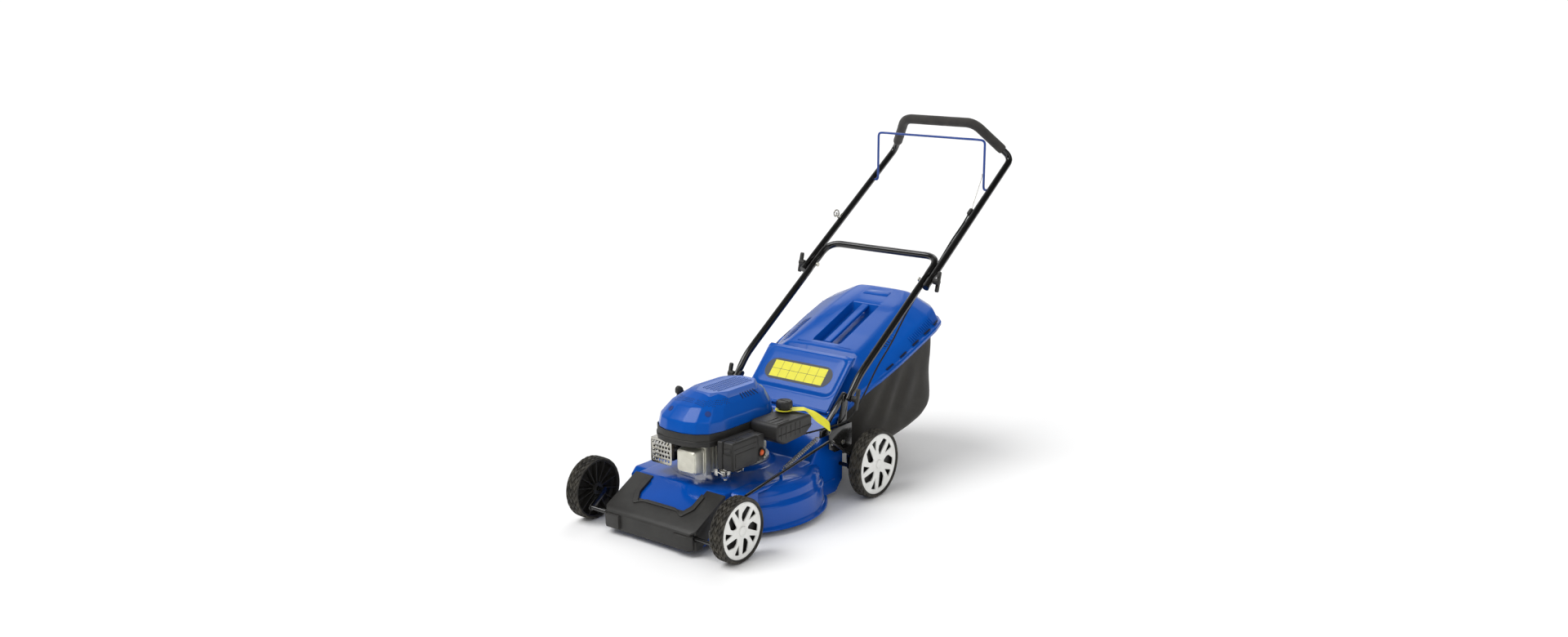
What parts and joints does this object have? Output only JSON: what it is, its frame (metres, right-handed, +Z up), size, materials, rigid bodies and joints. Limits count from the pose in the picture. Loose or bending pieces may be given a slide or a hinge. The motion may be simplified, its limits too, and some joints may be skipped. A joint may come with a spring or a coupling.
{
  "type": "lawn mower",
  "caption": "Petrol walk-behind lawn mower with a steel deck, spoked wheels, folding tubular handle, brake bail and rear grass bag.",
  "frame": {"origin": "on the ground under the middle of the mower's box", "axes": "+Z up, +Y towards the user behind the handle, +X towards the mower's left-hand side"},
  "size_m": [0.575, 1.5555, 1.0523],
  "materials": {
    "black_fabric": "matte woven",
    "black_foam": "matte foam",
    "black_paint": "glossy",
    "black_plastic": "matte",
    "black_rubber": "matte",
    "blue_paint": "glossy",
    "blue_plastic": "satin",
    "bright_steel": "zinc plated",
    "cast_aluminium": "cast",
    "dark_steel": "dark",
    "orange_rubber": "satin",
    "tyre": "matte",
    "white_plastic": "satin",
    "yellow_card": "satin"
  },
  "bodies": {
    "deck": {"deck": "blue_paint", "front_bumper": "black_plastic", "handle_bracket_left": "black_paint", "handle_bracket_right": "black_paint", "height_quadrant": "bright_steel", "engine_block": "cast_aluminium", "rocker_cover": "cast_aluminium", "muffler": "dark_steel", "muffler_guard": "bright_steel", "spark_plug_boot": "black_rubber", "carburettor": "cast_aluminium", "air_filter_base": "black_plastic", "fuel_tank": "black_plastic", "blower_housing": "black_plastic", "engine_cowl": "blue_plastic", "hang_tag": "yellow_card", "lift_spring": "bright_steel", "brake_cable_engine": "black_plastic", "recoil_rope": "white_plastic"},
    "rear_crank": {"rear_axle": "black_paint", "height_lever": "black_paint"},
    "front_crank": {"front_axle": "black_paint"},
    "link": {"link_rod": "black_paint"},
    "wheel_front_left": {"tyre_front_left": "tyre", "rim_front_left": "black_plastic", "trim_front_left": "white_plastic"},
    "wheel_front_right": {"tyre_front_right": "tyre", "rim_front_right": "black_plastic", "trim_front_right": "white_plastic"},
    "wheel_rear_left": {"tyre_rear_left": "tyre", "rim_rear_left": "black_plastic", "trim_rear_left": "white_plastic"},
    "wheel_rear_right": {"tyre_rear_right": "tyre", "rim_rear_right": "black_plastic", "trim_rear_right": "white_plastic"},
    "rotor": {"crankshaft": "bright_steel", "flywheel": "cast_aluminium", "blade_adapter": "cast_aluminium", "blade": "dark_steel", "blade_bolt": "bright_steel"},
    "fuel_cap": {"fuel_cap": "black_plastic"},
    "primer": {"primer_bulb": "orange_rubber"},
    "air_filter_cover": {"air_filter_cover": "black_plastic"},
    "recoil_grip": {"recoil_grip": "black_plastic"},
    "lower_handle": {"lower_handle": "black_paint", "brake_cable_lower": "black_plastic"},
    "upper_handle": {"upper_handle": "black_paint", "handle_grip": "black_foam", "rope_guide": "bright_steel", "cable_stop": "black_plastic", "brake_cable_upper": "black_plastic", "brake_wire": "bright_steel"},
    "bail": {"bail": "blue_paint"},
    "lower_knob_left": {"lower_knob_left": "black_plastic"},
    "lower_knob_right": {"lower_knob_right": "black_plastic"},
    "upper_knob_left": {"upper_knob_left": "black_plastic"},
    "upper_knob_right": {"upper_knob_right": "black_plastic"},
    "rear_flap": {"rear_flap": "blue_plastic"},
    "grass_bag": {"bag_lid": "blue_plastic", "bag_body": "black_fabric"}
  },
  "joints": [
    {"name": "height_rear", "type": "hinge", "parent": "deck", "child": "rear_crank", "pos_m": [0, -0.1211, 0.1016], "axis": [-1, 0, 0], "range_deg": [0, 44]},
    {"name": "height_front", "type": "hinge", "parent": "deck", "child": "front_crank", "pos_m": [0, -0.7374, 0.0527], "axis": [-1, 0, 0], "range_deg": [0, 44]},
    {"name": "link_rear_pin", "type": "hinge", "parent": "rear_crank", "child": "link", "pos_m": [0, -0.1246, 0.1366], "axis": [-1, 0, 0], "range_deg": [-44, 0]},
    {"name": "wheel_spin_front_left", "type": "hinge", "parent": "front_crank", "child": "wheel_front_left", "pos_m": [0, -0.6879, 0.0889], "axis": [1, 0, 0], "continuous": true},
    {"name": "wheel_spin_front_right", "type": "hinge", "parent": "front_crank", "child": "wheel_front_right", "pos_m": [0, -0.6879, 0.0889], "axis": [1, 0, 0], "continuous": true},
    {"name": "wheel_spin_rear_left", "type": "hinge", "parent": "rear_crank", "child": "wheel_rear_left", "pos_m": [0, -0.0569, 0.1016], "axis": [1, 0, 0], "continuous": true},
    {"name": "wheel_spin_rear_right", "type": "hinge", "parent": "rear_crank", "child": "wheel_rear_right", "pos_m": [0, -0.0569, 0.1016], "axis": [1, 0, 0], "continuous": true},
    {"name": "blade_spin", "type": "hinge", "parent": "deck", "child": "rotor", "pos_m": [0, -0.3724, 0.04], "axis": [0, 0, 1], "continuous": true},
    {"name": "fuel_cap_turn", "type": "hinge", "parent": "deck", "child": "fuel_cap", "pos_m": [0.136, -0.3204, 0.31], "axis": [0, 0, 1], "continuous": true},
    {"name": "primer_press", "type": "slide", "parent": "deck", "child": "primer", "axis": [-1, 0, 0], "range_m": [0, 0.004], "stiffness_N_per_m": 400, "springref_m": -0.001},
    {"name": "air_filter_cover_off", "type": "slide", "parent": "deck", "child": "air_filter_cover", "axis": [1, 0, 0], "range_m": [0, 0.06]},
    {"name": "recoil_pull", "type": "slide", "parent": "deck", "child": "recoil_grip", "axis": [0.0903, -0.909, -0.4068], "range_m": [-0.45, 0], "stiffness_N_per_m": 25, "springref_m": 0.12},
    {"name": "lower_handle_fold", "type": "hinge", "parent": "deck", "child": "lower_handle", "pos_m": [0, -0.1104, 0.303], "axis": [-1, 0, 0], "range_deg": [-118, 0]},
    {"name": "upper_handle_fold", "type": "hinge", "parent": "lower_handle", "child": "upper_handle", "pos_m": [0, 0.2826, 0.59071], "axis": [1, 0, 0], "range_deg": [0, 130]},
    {"name": "bail_squeeze", "type": "hinge", "parent": "upper_handle", "child": "bail", "pos_m": [0, 0.6396, 0.8299], "axis": [-1, 0, 0], "range_deg": [0, 26], "stiffness_Nm_per_rad": 1.2, "springref_deg": -20.05},
    {"name": "lower_knob_left_turn", "type": "hinge", "parent": "lower_handle", "child": "lower_knob_left", "pos_m": [0, -0.1104, 0.303], "axis": [1, 0, 0], "continuous": true},
    {"name": "lower_knob_right_turn", "type": "hinge", "parent": "lower_handle", "child": "lower_knob_right", "pos_m": [0, -0.1104, 0.303], "axis": [-1, 0, 0], "continuous": true},
    {"name": "upper_knob_left_turn", "type": "hinge", "parent": "upper_handle", "child": "upper_knob_left", "pos_m": [0, 0.2826, 0.59071], "axis": [1, 0, 0], "continuous": true},
    {"name": "upper_knob_right_turn", "type": "hinge", "parent": "upper_handle", "child": "upper_knob_right", "pos_m": [0, 0.2826, 0.59071], "axis": [-1, 0, 0], "continuous": true},
    {"name": "flap_lift", "type": "hinge", "parent": "deck", "child": "rear_flap", "pos_m": [0, -0.1434, 0.2565], "axis": [1, 0, 0], "range_deg": [0, 65], "stiffness_Nm_per_rad": 0.8, "springref_deg": -34.38},
    {"name": "bag_off", "type": "slide", "parent": "deck", "child": "grass_bag", "axis": [0, 0.9397, 0.342], "range_m": [0, 0.5]}
  ],
  "couplings": [
    {"joint": "height_front", "follows": "height_rear", "ratio": 1},
    {"joint": "link_rear_pin", "follows": "height_rear", "ratio": -1}
  ]
}
